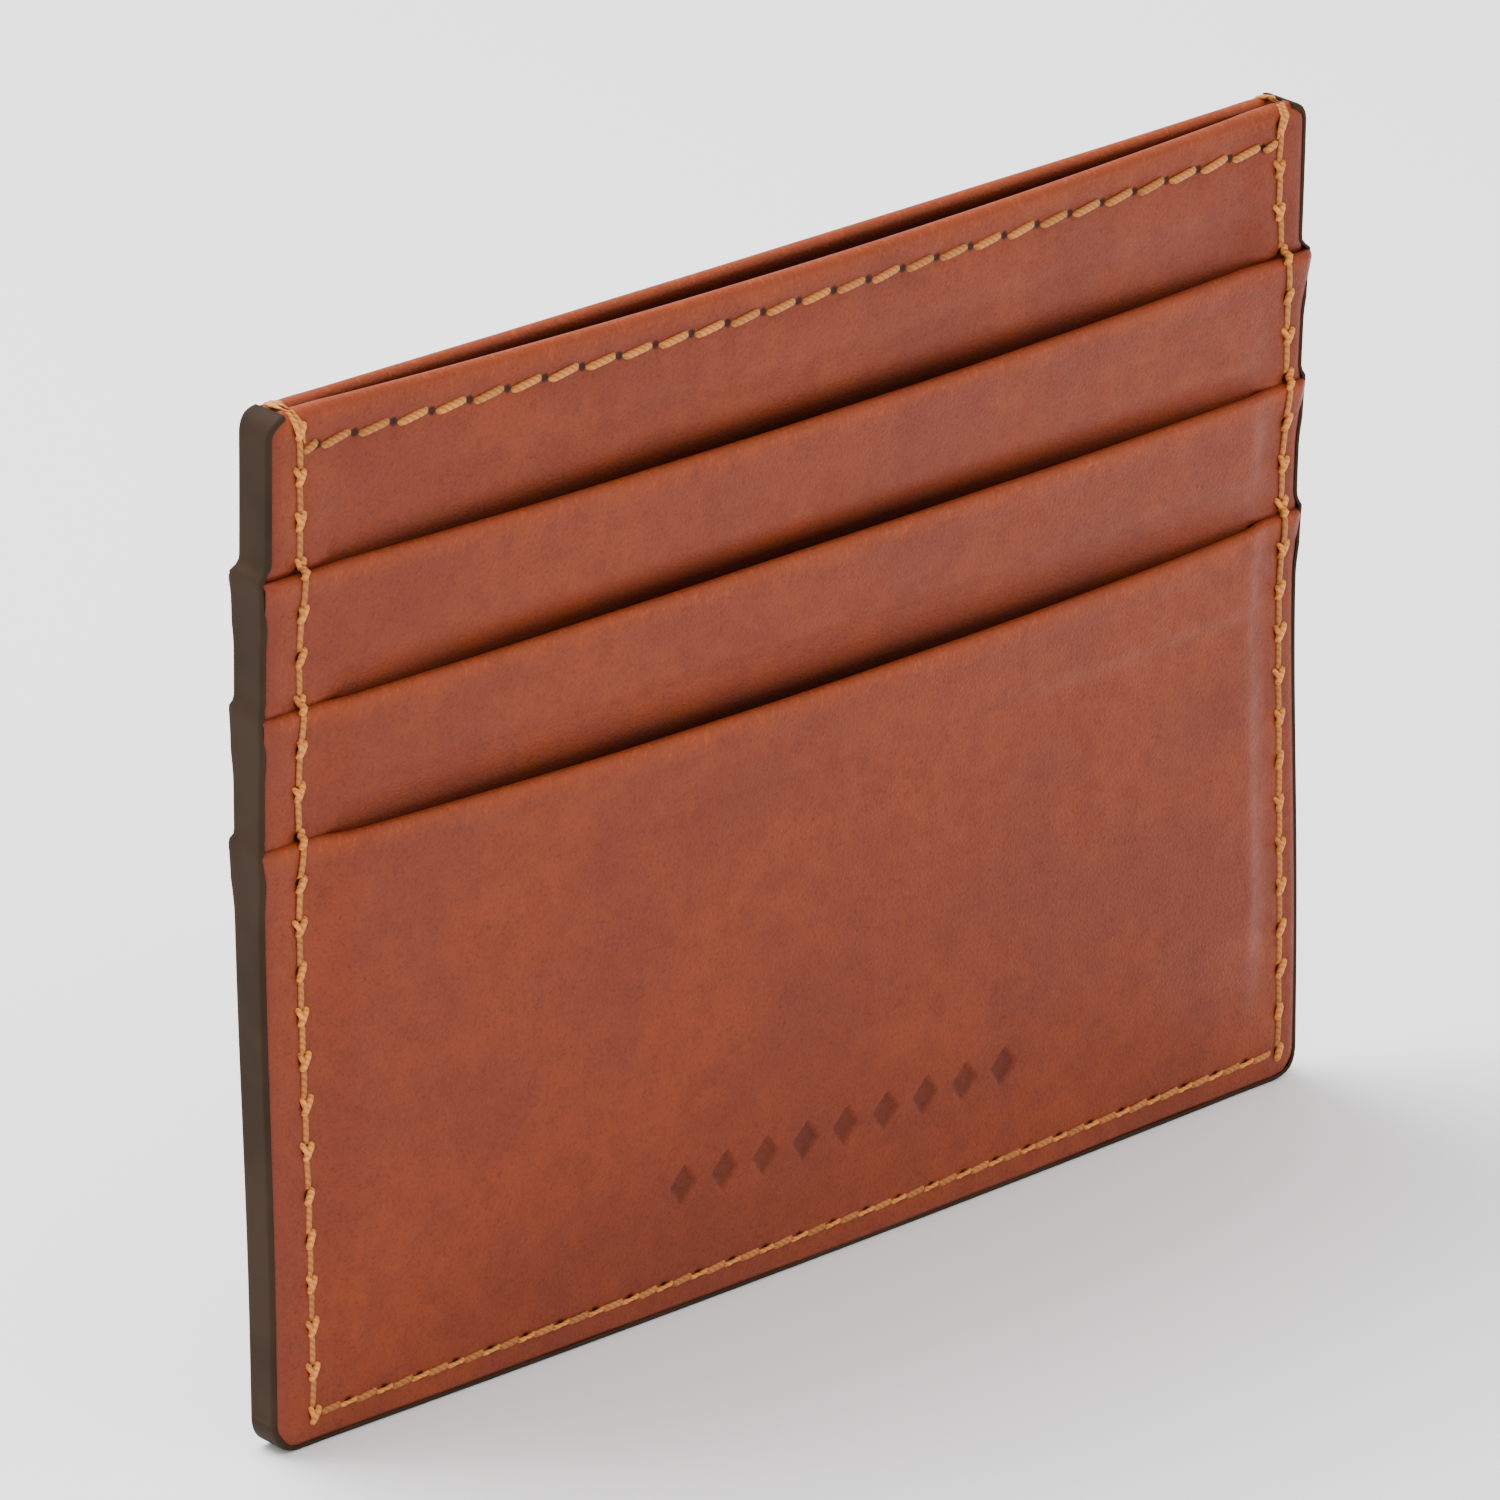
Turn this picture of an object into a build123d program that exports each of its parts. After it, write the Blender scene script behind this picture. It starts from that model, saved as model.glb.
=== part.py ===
"""Slim leather card holder with card pockets on each face and a centre pocket open at the top.

The holder stands on its bottom edge. +Z is up, the front face looks along -Y and the origin is
the middle of the bottom edge. Sizes are in millimetres.

Every layer is a sheet, described by its outline in a plane of constant X. The outline is drawn
twice: once at the side seam, where the layers are sewn flat onto each other, and once in the
middle, where the pockets puff out. A ruled loft joins the two. The distance of a face from the
mid plane is called its level. The rear half mirrors the front half.
"""

import os

from build123d import *

# Driving sizes
WIDTH = 100.0
HEIGHT = 80.0
POCKET_COUNT = 3  # card pockets on each face
FIRST_MOUTH_DROP = 12.8  # from the top edge down to the first card pocket's mouth
MOUTH_PITCH = 10.5  # from each mouth down to the next
TURNED_EDGE = 7.0  # depth of the hem that each mouth is folded over by
MOUTH_MARGIN = 1.0  # of single leather between the step below a hem and the next mouth
LEATHER = 0.6
LINING = 0.2

# Outline
SHOULDER = 1.0  # how much narrower each side is above the first mouth
TOP_CORNER = 3.0
BOTTOM_CORNER = 2.5
PAINT = 0.25  # film of edge paint on the cut edges

# Fits
TOUCH = 0.02  # between layers that are pressed or glued together
SLOT_GAP = 0.1  # between a mouth and the layer behind it
CENTRE_GAP = 0.3  # half the gap of the centre pocket
TAIL_ROOM = 0.24  # between two layers where a hidden row of stitches lies between them

# Seams
SEAM_INSET = 2.5  # from the outer edge to the row of stitches
SEAM_BAND = 4.0  # sewn flat, from the outer edge inwards
SIDE_RISE = 2.0  # width over which the layers leave the side seam
BOTTOM_RISE = 8.0  # height over which they leave the bottom seam
TAB_CLEARANCE = 0.7  # between a pocket's side tab and the mouth below it
STRIP_MARGIN = 0.2  # from a strip's lower end up from the end of the hem in front of it
TAIL_OVERLAP = 4.0  # of a cloth tail behind its leather strip
TAIL_HEM = 2.0  # of cloth below the row that closes a pocket

# Thread
THREAD = 0.4
RUN = 0.3  # thickness of a stitch where it lies pressed on leather
TAIL_RUN = 0.2  # thickness of the finer stitches on the cloth tails
STITCH = 3.37  # nominal pitch
HOLE_CLEARANCE = 0.03  # around a thread in its hole
TOP_ROW_DROP = 3.4  # from the top edge down to the row through its turned edge
FIRST_HOLE_DROP = 1.9  # from the top edge down to the first hole of each side seam

HALF = WIDTH / 2
SEAM_X = HALF - SEAM_BAND  # the layers lie flat from here outwards
MIDDLE_X = SEAM_X - SIDE_RISE  # and stay puffed from here inwards
STEM_X = MIDDLE_X - TOUCH  # half width of the parts that stay clear of the side seam
ROW_X = HALF - SEAM_INSET
DROP = MOUTH_PITCH - TURNED_EDGE - MOUTH_MARGIN  # height of the step from double to single leather
HEM_END = HEIGHT - TURNED_EDGE
POCKETS = range(POCKET_COUNT)
LAST = POCKET_COUNT - 1
MOUTHS = [HEIGHT - FIRST_MOUTH_DROP - MOUTH_PITCH * n for n in POCKETS]


def strip_bottom(n):
    """Lower edge of a pocket's leather: the outer one reaches the bottom seam."""
    if n == LAST:
        return PAINT
    return MOUTHS[n + 1] - TURNED_EDGE + STRIP_MARGIN


def tab_bottom(n):
    """Lower edge of a pocket's side tabs, just above the next mouth."""
    return MOUTHS[n + 1] + TAB_CLEARANCE


def row_height(n):
    """Height of the row that closes a pocket, so that all the pockets are equally deep."""
    return SEAM_INSET + MOUTHS[n] - MOUTHS[LAST]


def ladder(sewn):
    """Level of each layer's inner face, at the side seam or in the middle."""
    centre = TOUCH / 2 if sewn else CENTRE_GAP
    panel = centre + LINING + TOUCH
    panel_out = panel + LEATHER
    hem_lining = centre + LEATHER + TOUCH
    levels = {
        "centre": centre,
        "panel": panel,
        "panel_out": panel_out,
        "hem_lining": hem_lining,
        "hem_panel": hem_lining + LINING + TOUCH,
        "tails": [],
        "mouths": [],
        "strips": [],
    }
    below = panel_out
    cloth = panel_out
    for n in POCKETS:
        if sewn:
            levels["mouths"].append(panel_out + TOUCH)
            levels["strips"].append(panel_out + TOUCH)
            levels["tails"].append(panel_out + TOUCH)
            continue
        levels["mouths"].append(below + SLOT_GAP)
        if n == LAST:
            levels["strips"].append(levels["mouths"][n] + LEATHER)
            continue
        tail = cloth + (TOUCH if n == 0 else TAIL_ROOM)
        cloth = tail + LINING
        levels["tails"].append(tail)
        levels["strips"].append(cloth + TOUCH)
        below = cloth + TOUCH + LEATHER
    return levels


SEWN = ladder(True)
PUFFED = ladder(False)
STACK = SEWN["mouths"][0] + 2 * LEATHER  # half the thickness of the side seam at a mouth
FLAT_STACK = SEWN["strips"][LAST] + LEATHER  # and where it is thinnest
DEEP = PUFFED["mouths"][LAST] + 3 * LEATHER  # past every layer of a half


def to_bottom(name, levels, thickness, index=None):
    """Inner and outer face of a layer's lowest part, which is sewn flat into the bottom seam."""
    def value(source):
        return source[name] if index is None else source[name][index]

    here, sewn = value(levels), value(SEWN)
    inner = [(here, SEAM_BAND + BOTTOM_RISE), (sewn, SEAM_BAND), (sewn, PAINT)]
    outer = [(u + thickness, z) for u, z in inner]
    return inner, outer


def fold(inner, outer, top):
    """Round top of a turned edge, from its outer to its inner level."""
    radius = (outer - inner) / 2
    return [(outer, top - radius), ((inner + outer) / 2, top), (inner, top - radius)]


def panel_outline(v):
    """The leather between the card pockets and the centre pocket, folded over its lining."""
    inner, outer = to_bottom("panel", v, LEATHER)
    out_hem = v["hem_panel"] + LEATHER
    radius = (out_hem - v["centre"]) / 2
    slit_top = HEIGHT - radius
    before = outer[::-1] + [(v["panel_out"], HEM_END - DROP), (out_hem, HEM_END)]
    after = [
        (v["centre"], HEM_END),
        (v["centre"] + LEATHER, HEM_END),
        (v["centre"] + LEATHER, slit_top),
        (v["hem_panel"], slit_top),
        (v["hem_panel"], HEM_END),
        (v["panel"], HEM_END - DROP),
    ] + inner
    return before, fold(v["centre"], out_hem, HEIGHT), after


def lining_outline(v):
    inner, outer = to_bottom("centre", v, LINING)
    radius = (v["hem_panel"] + LEATHER - v["centre"]) / 2
    top = HEIGHT - radius - TOUCH
    upper = [(v["hem_lining"], top), (v["hem_lining"], HEM_END), (v["centre"], HEM_END - DROP)]
    outer_upper = [(u + LINING, z) for u, z in upper]
    return outer[::-1] + outer_upper[::-1] + upper + inner, [], []


def pocket_outline(n, v):
    """A leather strip with a turned edge at its mouth.

    It steps down below its hem, but the last one stays puffed out down to the bottom seam.
    """
    mouth, hem_end = MOUTHS[n], MOUTHS[n] - TURNED_EDGE
    at_mouth, low = v["mouths"][n], v["strips"][n]
    if n == LAST:
        inner, outer = to_bottom("strips", v, LEATHER, n)
    else:
        inner = [(low, strip_bottom(n))]
        outer = [(low + LEATHER, strip_bottom(n))]
    inner = [(at_mouth + LEATHER, hem_end), (low, hem_end - DROP)] + inner
    outer = [(at_mouth + 2 * LEATHER, hem_end), (low + LEATHER, hem_end - DROP)] + outer
    return outer[::-1], fold(at_mouth, at_mouth + 2 * LEATHER, mouth), [(at_mouth, hem_end)] + inner


def section(x, outline):
    """An outline of (level, height) points as a face at x, on the front half."""
    before, arc, after = outline

    def place(point):
        return Vector(x, -point[0], point[1])

    points = [place(p) for p in before + arc[:1]]
    edges = [Line(a, b) for a, b in zip(points, points[1:])]
    if arc:
        edges.append(ThreePointArc(*[place(p) for p in arc]))
    rest = [place(p) for p in arc[2:] + after] + points[:1]
    if not arc:
        rest = [points[-1]] + points[:1]
    edges += [Line(a, b) for a, b in zip(rest, rest[1:])]
    return Face(Wire(edges))


def sheet(outline_at):
    """Lofts a layer from side seam to side seam."""
    stations = [(-HALF, SEWN), (-SEAM_X, SEWN), (-MIDDLE_X, PUFFED)]
    stations += [(-x, levels) for x, levels in reversed(stations)]
    return loft([section(x, outline_at(levels)) for x, levels in stations], ruled=True)


def block(x0, x1, y0, y1, z0, z1):
    return Pos((x0 + x1) / 2, (y0 + y1) / 2, (z0 + z1) / 2) * Box(x1 - x0, y1 - y0, z1 - z0)


def silhouette(inset):
    """Outline of the holder in front view, drawn in by a margin on its three cut edges."""
    side, shoulder = HALF - inset, HALF - SHOULDER - inset
    step = MOUTHS[0] - inset
    points = [(-side, inset), (side, inset), (side, step), (shoulder, step)]
    points += [(shoulder, HEIGHT), (-shoulder, HEIGHT), (-shoulder, step), (-side, step)]
    face = make_face(Polyline(*[(x, 0, z) for x, z in points], close=True))
    corners = face.vertices().sort_by(Axis.Z)
    face = fillet(corners[:2], BOTTOM_CORNER - inset)
    return fillet(face.vertices().sort_by(Axis.Z)[-2:], TOP_CORNER - inset)


def slab(face, half_thickness):
    return extrude(face, half_thickness, dir=(0, 1, 0), both=True)


def row(start, end, pitch=STITCH):
    """Evenly spaced places from start to end, both included."""
    count = max(1, round(abs(end - start) / pitch))
    return [start + (end - start) * i / count for i in range(count + 1)]


SIDE_HOLES = row(HEIGHT - FIRST_HOLE_DROP, SEAM_INSET)
BOTTOM_HOLES = row(-ROW_X, ROW_X)
TOP_ROW = HEIGHT - TOP_ROW_DROP
TOP_HOLES = row(-ROW_X + STITCH / 2, ROW_X - STITCH / 2)
TAIL_HOLES = row(-STEM_X + SEAM_INSET, STEM_X - SEAM_INSET)


def seam_level(z):
    """Level of the outermost face at height z of the side seam."""
    for n in POCKETS:
        if MOUTHS[n] - TURNED_EDGE <= z <= MOUTHS[n]:
            return STACK
        if n < LAST and tab_bottom(n) <= z <= MOUTHS[n]:
            return step_level(z, MOUTHS[n] - TURNED_EDGE, STACK, FLAT_STACK)
    if z < MOUTHS[LAST]:
        return step_level(z, MOUTHS[LAST] - TURNED_EDGE, STACK, FLAT_STACK)
    if z > MOUTHS[0]:
        return step_level(z, HEM_END, SEWN["hem_panel"] + LEATHER, SEWN["panel_out"])
    return SEWN["panel_out"]


def step_level(z, hem_end, high, low):
    """Level of a face that steps down from high to low over DROP below a hem's end."""
    share = min(max((hem_end - z) / DROP, 0), 1)
    return high + (low - high) * share


def highest(a, b):
    """Highest level of the side seam between two heights."""
    heights = [a, b] + [z for z in seam_breaks() if min(a, b) < z < max(a, b)]
    return max(seam_level(z) for z in heights)


def seam_breaks():
    """Heights where the side seam's level turns or jumps."""
    tops = list(MOUTHS) + [HEIGHT]
    return tops + [z - TURNED_EDGE for z in tops] + [z - TURNED_EDGE - DROP for z in tops]


def comb(places, levels, root, run):
    """Stitches as one flat shape: a run from hole to hole, and a leg in each hole down to root."""
    bars = []
    for a, b, level in zip(places, places[1:], levels):
        low, high = min(a, b) - THREAD / 2, max(a, b) + THREAD / 2
        bars.append((low, high, level, level + run))
    for place, before, after in zip(places, levels[:1] + levels, levels + levels[-1:]):
        bars.append((place - THREAD / 2, place + THREAD / 2, root, max(before, after) + run))
    return bars


def side_thread(x):
    half = THREAD / 2
    levels = [highest(a, b) for a, b in zip(SIDE_HOLES, SIDE_HOLES[1:])]
    bars = comb(SIDE_HOLES, levels, TOUCH / 2, RUN)
    return [block(x - half, x + half, -v1, -v0, z0, z1) for z0, z1, v0, v1 in bars]


def level_thread(places, levels, root, z, run=RUN):
    half = THREAD / 2
    bars = comb(places, levels, root, run)
    return [block(x0, x1, -v1, -v0, z - half, z + half) for x0, x1, v0, v1 in bars]


def fused(blocks):
    return blocks[0] + blocks[1:]


def perimeter_thread():
    """Half of the seam on the three closed sides: the thread that shows on one face."""
    flat = [FLAT_STACK] * (len(BOTTOM_HOLES) - 1)
    blocks = side_thread(-ROW_X) + side_thread(ROW_X)
    return fused(blocks + level_thread(BOTTOM_HOLES, flat, TOUCH / 2, SEAM_INSET))


def puff(x, sewn, puffed):
    """A level at x, between its value at the side seam and in the middle."""
    share = min(max((SEAM_X - abs(x)) / SIDE_RISE, 0), 1)
    return sewn + (puffed - sewn) * share


def top_thread():
    def face(x):
        return puff(x, SEWN["hem_panel"], PUFFED["hem_panel"]) + LEATHER

    levels = [max(face(a), face(b)) for a, b in zip(TOP_HOLES, TOP_HOLES[1:])]
    return fused(level_thread(TOP_HOLES, levels, PUFFED["centre"], TOP_ROW))


def tail_thread(n):
    levels = [PUFFED["tails"][n] + LINING + TOUCH / 2] * (len(TAIL_HOLES) - 1)
    return fused(level_thread(TAIL_HOLES, levels, PUFFED["panel"], row_height(n), TAIL_RUN))


def corner_tack(x):
    """The seam's thread where it goes over the top edge, from the front face to the rear one."""
    half = THREAD / 2
    low = SIDE_HOLES[0] + half + TOUCH
    inner = SEWN["hem_panel"] + LEATHER + TOUCH
    outer = inner + RUN
    legs = [block(x - half, x + half, y0, y0 + RUN, low, HEIGHT + RUN) for y0 in (-outer, inner)]
    return fused([block(x - half, x + half, -outer, outer, HEIGHT + TOUCH, HEIGHT + RUN)] + legs)


def needle_holes(places):
    """Square holes through the whole front half at (x, z) places."""
    half = THREAD / 2 + HOLE_CLEARANCE
    return [block(x - half, x + half, -DEEP, 0, z - half, z + half) for x, z in places]


SEAM_PLACES = [(side * ROW_X, z) for side in (-1, 1) for z in SIDE_HOLES[:-1]]
SEAM_PLACES += [(x, SEAM_INSET) for x in BOTTOM_HOLES]
TOP_PLACES = [(x, TOP_ROW) for x in TOP_HOLES]


def tail_places(n):
    return [(x, row_height(n)) for x in TAIL_HOLES]


def card_strip(n, mask):
    """A T shaped pocket: side tabs reach the seams, and the stem below them stays clear."""
    solid = sheet(lambda v: pocket_outline(n, v)) & mask
    low = 0
    if n < LAST:
        low = tab_bottom(n)
        solid -= [block(x - HALF, x, -DEEP, 0, -1, low) for x in (-STEM_X, STEM_X + HALF)]
    return solid - needle_holes([p for p in SEAM_PLACES if low - THREAD < p[1] < MOUTHS[n] + 2 * THREAD])


def tail(n):
    """Cloth that carries a card pocket on down from its leather strip."""
    level = PUFFED["tails"][n]
    low, high = row_height(n) - TAIL_HEM, strip_bottom(n) + TAIL_OVERLAP
    return block(-STEM_X, STEM_X, -level - LINING, -level, low, high) - needle_holes(tail_places(n))


def paint_profile():
    """Side view of the cut edges, both halves, that the edge paint covers."""
    top_level = SEWN["hem_panel"] + LEATHER
    line = [(FLAT_STACK, 0.0)]
    for n in reversed(POCKETS):
        hem_end = MOUTHS[n] - TURNED_EDGE
        base = 0 if n == LAST else MOUTHS[n + 1]
        if n < LAST:
            line += [(FLAT_STACK, base)]
        line += [(FLAT_STACK, max(hem_end - DROP, base)), (STACK, hem_end), (STACK, MOUTHS[n])]
    line += [(SEWN["panel_out"], MOUTHS[0]), (SEWN["panel_out"], HEM_END - DROP)]
    line += [(top_level, HEM_END), (top_level, HEIGHT - top_level)]
    line = [p for i, p in enumerate(line) if i == 0 or p != line[i - 1]]
    mirrored = [(-u, z) for u, z in reversed(line)]
    face = make_face(Polyline(*[(-HALF - 1, u, z) for u, z in line + mirrored], close=True))
    return extrude(face, WIDTH + 2, dir=(1, 0, 0))


def edge_paint():
    """The film on the cut edges, in one piece along the bottom and one up each side."""
    film = slab(silhouette(0), DEEP) - slab(silhouette(PAINT), 2 * DEEP)
    film &= paint_profile()
    return {
        "edge_paint_bottom": film & block(-HALF, HALF, -DEEP, DEEP, 0, BOTTOM_CORNER),
        "edge_paint_left": film & block(-HALF, 0, -DEEP, DEEP, BOTTOM_CORNER, HEIGHT),
        "edge_paint_right": film & block(0, HALF, -DEEP, DEEP, BOTTOM_CORNER, HEIGHT),
    }


def front_half():
    """Every piece of the front half by name."""
    mask = slab(silhouette(PAINT), DEEP)
    holes = needle_holes(SEAM_PLACES + TOP_PLACES)
    tail_holes = needle_holes([p for n in range(LAST) for p in tail_places(n)])
    half = {
        "panel": (sheet(panel_outline) & mask) - (holes + tail_holes),
        "panel_lining": (sheet(lining_outline) & mask) - holes,
        "top_thread": top_thread(),
        "perimeter_thread": perimeter_thread(),
    }
    for n in POCKETS:
        half[f"pocket_{n + 1}"] = card_strip(n, mask)
    for n in range(LAST):
        half[f"pocket_{n + 1}_tail"] = tail(n)
        half[f"pocket_{n + 1}_thread"] = tail_thread(n)
    return half


def build():
    nodes = {}
    for name, solid in front_half().items():
        nodes[f"front_{name}"] = solid
        nodes[f"rear_{name}"] = mirror(solid, about=Plane.XZ)
    nodes["corner_tack_left"] = corner_tack(-ROW_X)
    nodes["corner_tack_right"] = corner_tack(ROW_X)
    nodes.update(edge_paint())
    return nodes


os.makedirs("parts", exist_ok=True)
for node, shape in build().items():
    export_step(shape, f"parts/{node}.step")
    print(node, round(shape.volume, 1))
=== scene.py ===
import math

import bmesh
import bpy
import numpy as np
from mathutils import Matrix, Vector


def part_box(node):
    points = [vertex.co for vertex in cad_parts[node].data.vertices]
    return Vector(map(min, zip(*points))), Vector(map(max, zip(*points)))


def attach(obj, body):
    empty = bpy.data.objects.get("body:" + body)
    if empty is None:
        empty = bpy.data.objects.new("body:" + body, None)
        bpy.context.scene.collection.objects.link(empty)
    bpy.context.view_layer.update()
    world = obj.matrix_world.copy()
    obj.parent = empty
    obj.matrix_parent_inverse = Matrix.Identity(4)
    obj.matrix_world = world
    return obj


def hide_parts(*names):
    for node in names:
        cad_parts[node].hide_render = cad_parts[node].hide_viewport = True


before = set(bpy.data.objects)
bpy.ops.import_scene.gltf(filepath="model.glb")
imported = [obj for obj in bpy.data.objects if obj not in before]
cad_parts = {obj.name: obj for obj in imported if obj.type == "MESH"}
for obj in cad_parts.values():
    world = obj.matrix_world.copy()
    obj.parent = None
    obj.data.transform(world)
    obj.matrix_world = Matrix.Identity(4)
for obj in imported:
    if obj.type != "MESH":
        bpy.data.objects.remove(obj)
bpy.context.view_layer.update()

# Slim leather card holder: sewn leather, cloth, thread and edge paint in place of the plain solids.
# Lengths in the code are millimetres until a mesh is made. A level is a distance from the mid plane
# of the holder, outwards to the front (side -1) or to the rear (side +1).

bl_info = {
    "name": "Leather Card Holder",
    "version": (1, 0, 0),
    "blender": (4, 5, 0),
    "location": "View3D > Sidebar > Card Holder",
    "description": "Builds a sewn leather card holder around its packed frame",
    "category": "Object",
}

MM = 0.001
LOW, HIGH = 0, 1
FRONT, REAR = -1, 1
SIDES = {"front": FRONT, "rear": REAR}


def corner(node, end):
    """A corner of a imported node's box, in millimetres."""
    return [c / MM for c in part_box(node)[end]]


# Places read from the frame
HALF = corner("edge_paint_right", HIGH)[0]
TOP = corner("front_panel", HIGH)[2]
FILM = corner("front_panel", LOW)[2]  # of edge paint below the leather
CUT = HALF - FILM
POCKETS = (0, 1, 2)
LAST = 2
MOUTHS = [corner(f"front_pocket_{n + 1}", HIGH)[2] for n in POCKETS]
STRIP_ENDS = [corner(f"front_pocket_{n + 1}", LOW)[2] for n in POCKETS]
TAIL_ENDS = [corner(f"front_pocket_{n + 1}_tail", LOW)[2] for n in (0, 1)]
TAIL_TOPS = [corner(f"front_pocket_{n + 1}_tail", HIGH)[2] for n in (0, 1)]
STEM = corner("front_pocket_1_tail", HIGH)[0]
THREAD_BAR = 0.4  # width of the frame's stitch bars
ROW_X = corner("front_perimeter_thread", HIGH)[0] - THREAD_BAR / 2
ROW_Z = corner("front_perimeter_thread", LOW)[2] + THREAD_BAR / 2
FIRST_HOLE = corner("front_perimeter_thread", HIGH)[2] - THREAD_BAR / 2
TOP_ROW = corner("front_top_thread", HIGH)[2] - THREAD_BAR / 2
TAIL_ROWS = [corner(f"front_pocket_{n + 1}_thread", HIGH)[2] - THREAD_BAR / 2 for n in (0, 1)]

# Outline
SHOULDER = 0.4  # how much narrower the leather is above the first mouth
SPREAD = (0.8, 1.2)  # how far the edge stands out at the first mouth and at the foot
FLARE = (0.35, 0.3, 0.3)  # and just below each mouth
TOP_CORNER = 1.8
BOTTOM_CORNER = 2.5

# How the layers lie
SEAM_X = 46.3  # where they start to rise from the side seams
SIDE_RISE = 3.2  # and the width over which they do
PULL = 1.5  # how far the right seam has moved outwards under the strain of the pockets
PULL_FROM, PULL_RUN = 74, 14  # height at which that starts, and how far down it grows
FOOT = 4.0  # height at which the layers start to rise from the bottom seam
FOOT_RISE = 12.0
DISH_HEIGHT, DISH_SPREAD = 42, 22  # where the holder is bent back most, and how far around
LEAN = 0.4  # how far the top leans to the rear
LEAN_FROM, LEAN_RUN = 40, 30
SHUT = 0.2  # half the gap of the centre pocket where it is closed
HEM = 7.0  # depth of a turned edge
HEM_STEP = 3.0
CLOTH = 0.2
TOUCH = 0.03  # room between layers that lie on each other
SEWN_TOP = 1.75  # outer face of the panel at the side seams: above the first mouth,
SEWN_HIGH = 1.25  # just below it
SEWN_LOW = 0.9  # and at the foot
SEAM_HEM = (0.6, 0.5, 0.5)  # what each turned edge adds at the seams
SEAM_HEM_RUN = 5.5
MOUTH_GAP = (0.6, 0.65, 0.7)  # how far each mouth stands open
GAP_CLOSES, GAP_RUN = 0.7, 9  # the share of it that is gone this far below the mouth
TUCK = 0.4  # how far leather dips in just above a mouth
TUCK_RUN = 1.4
MOUTH_LIFT = (0.2, 0.35, 0.5)  # how far each mouth is above its packed height,
MOUTH_ARCH = (0.0, 0.35, -0.5)  # further in the middle
MOUTH_TILT = (0.05, 0.05, -0.2)  # and further at the right edge
TOP_DROP = 0.5  # of the turned top edges, at the seams
TOP_SAG = {FRONT: 0.4, REAR: 0.25}  # and further in the middle
TAB_TUCK = 0.25  # how far the tabs of a pocket reach into the next mouth
PANEL_REACH, POCKET_REACH = 0.7, 0.5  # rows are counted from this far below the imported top
LINING_DROP = 1.0  # of the linings' top edges below the panels' ones

# Wear
THREAD_DENT, THREAD_DENT_RUN = 0.09, 0.55  # depth and width of the dent under thread,
HOLE_DENT, HOLE_DENT_RUN = 0.14, 0.6  # and of the one at a needle hole
HOLE_REACH = 0.5  # the third part of to_hole is 0 this close to a hole
WEAR, WEAR_RUN = 0.3, 0.9  # how far a cut edge is rounded off, and how far in
CREASE, CREASE_DEPTH, CREASE_RUN = 0.05, 2.6, 0.4  # the line pressed along each mouth

# Plain row of stamped lozenges
MARK_X = (-15.0, 21.0)
MARK_Z = (8.6, 12.4)
MARK_COUNT = 9
MARK_FILL = 0.36  # half a lozenge's width as a share of the pitch
MARK_WALL = 0.3
MARK_DEPTH = 0.25
MARK_STEP = 0.25

# Grids and thread
GRID = 0.5
CLOTH_GRID = 1.0
TAB_COLUMNS = 15
HEM_ROWS = 10
FOLD_ROWS = 17
STRAND_SIDES = 8
STRAND_TAPER = 6

# Edge paint
LIP = 0.45  # how far the paint reaches in from the outer edge
PAINT_ROUND = 0.3
PAINT_PROUD = 0.06
PAINT_SKIN = 0.15


def linear(code):
    """A hex sRGB colour as linear red, green and blue."""
    parts = [int(code[i:i + 2], 16) / 255 for i in (1, 3, 5)]
    return [c / 12.92 if c <= 0.04045 else ((c + 0.055) / 1.055) ** 2.4 for c in parts]


def length_property(name, description, millimetres):
    return bpy.props.FloatProperty(
        name=name, description=description, default=millimetres * MM, unit="LENGTH", precision=5
    )


def colour_property(name, description, code):
    return bpy.props.FloatVectorProperty(
        name=name, description=description, default=linear(code),
        subtype="COLOR", size=3, min=0, max=1,
    )


class HolderSizes(bpy.types.PropertyGroup):
    leather: length_property("Leather", "Thickness of the leather", 0.5)
    opening: length_property("Centre opening", "Half the gap at the top of the centre pocket", 1.0)
    bow: length_property("Bow", "How far the middle bows to the front", 0.6)
    pitch: length_property("Stitch pitch", "Distance between needle holes", 3.37)
    dish: length_property("Dish", "How far the holder is bent back at half height", 1.1)
    thread: length_property("Thread", "Width of a stitch", 0.6)


class HolderColours(bpy.types.PropertyGroup):
    leather: colour_property("Leather", "Body of the leather", "#7A351B")
    leather_warm: colour_property("Leather, warm", "Orange clouds in the leather", "#82381A")
    leather_dull: colour_property("Leather, dull", "Brown clouds in the leather", "#6B2E1F")
    turned: colour_property("Turned edge", "Leather that is stretched over a fold", "#8A3A12")
    # This darker colour gives the pores and the stamped lozenges their own darker tone, and is also
    # the painted shade in the needle holes, inside the pocket mouths, just above each mouth and
    # between the thread's plies.
    burnish_and_shade: colour_property("Burnish and shade", "Leather darkened in creases and holes", "#240804")
    # The pulled-up and flat colours are one thread: the lighter one is a painted highlight on
    # raised strands, the darker one painted shade on flat ones; each stitch's tone also varies at
    # random.
    thread: colour_property("Thread", "Waxed thread where it is pulled up", "#E18F40")
    thread_shaded: colour_property("Thread, flat", "Waxed thread where it lies flat", "#A0622D")
    lining: colour_property("Lining", "Lining cloth", "#3A2014")
    paint: colour_property("Edge paint", "Matt paint on the cut edges", "#32251A")
    floor: colour_property("Floor", "Table under the holder", "#FCFCFC")


def sizes():
    return bpy.context.scene.holder_sizes


def colours():
    return bpy.context.scene.holder_colours


# Shape of the sewn layers


def smooth(t):
    t = np.clip(t, 0, 1)
    return t * t * (3 - 2 * t)


def mix(a, b, share):
    return a + (b - a) * share


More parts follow.
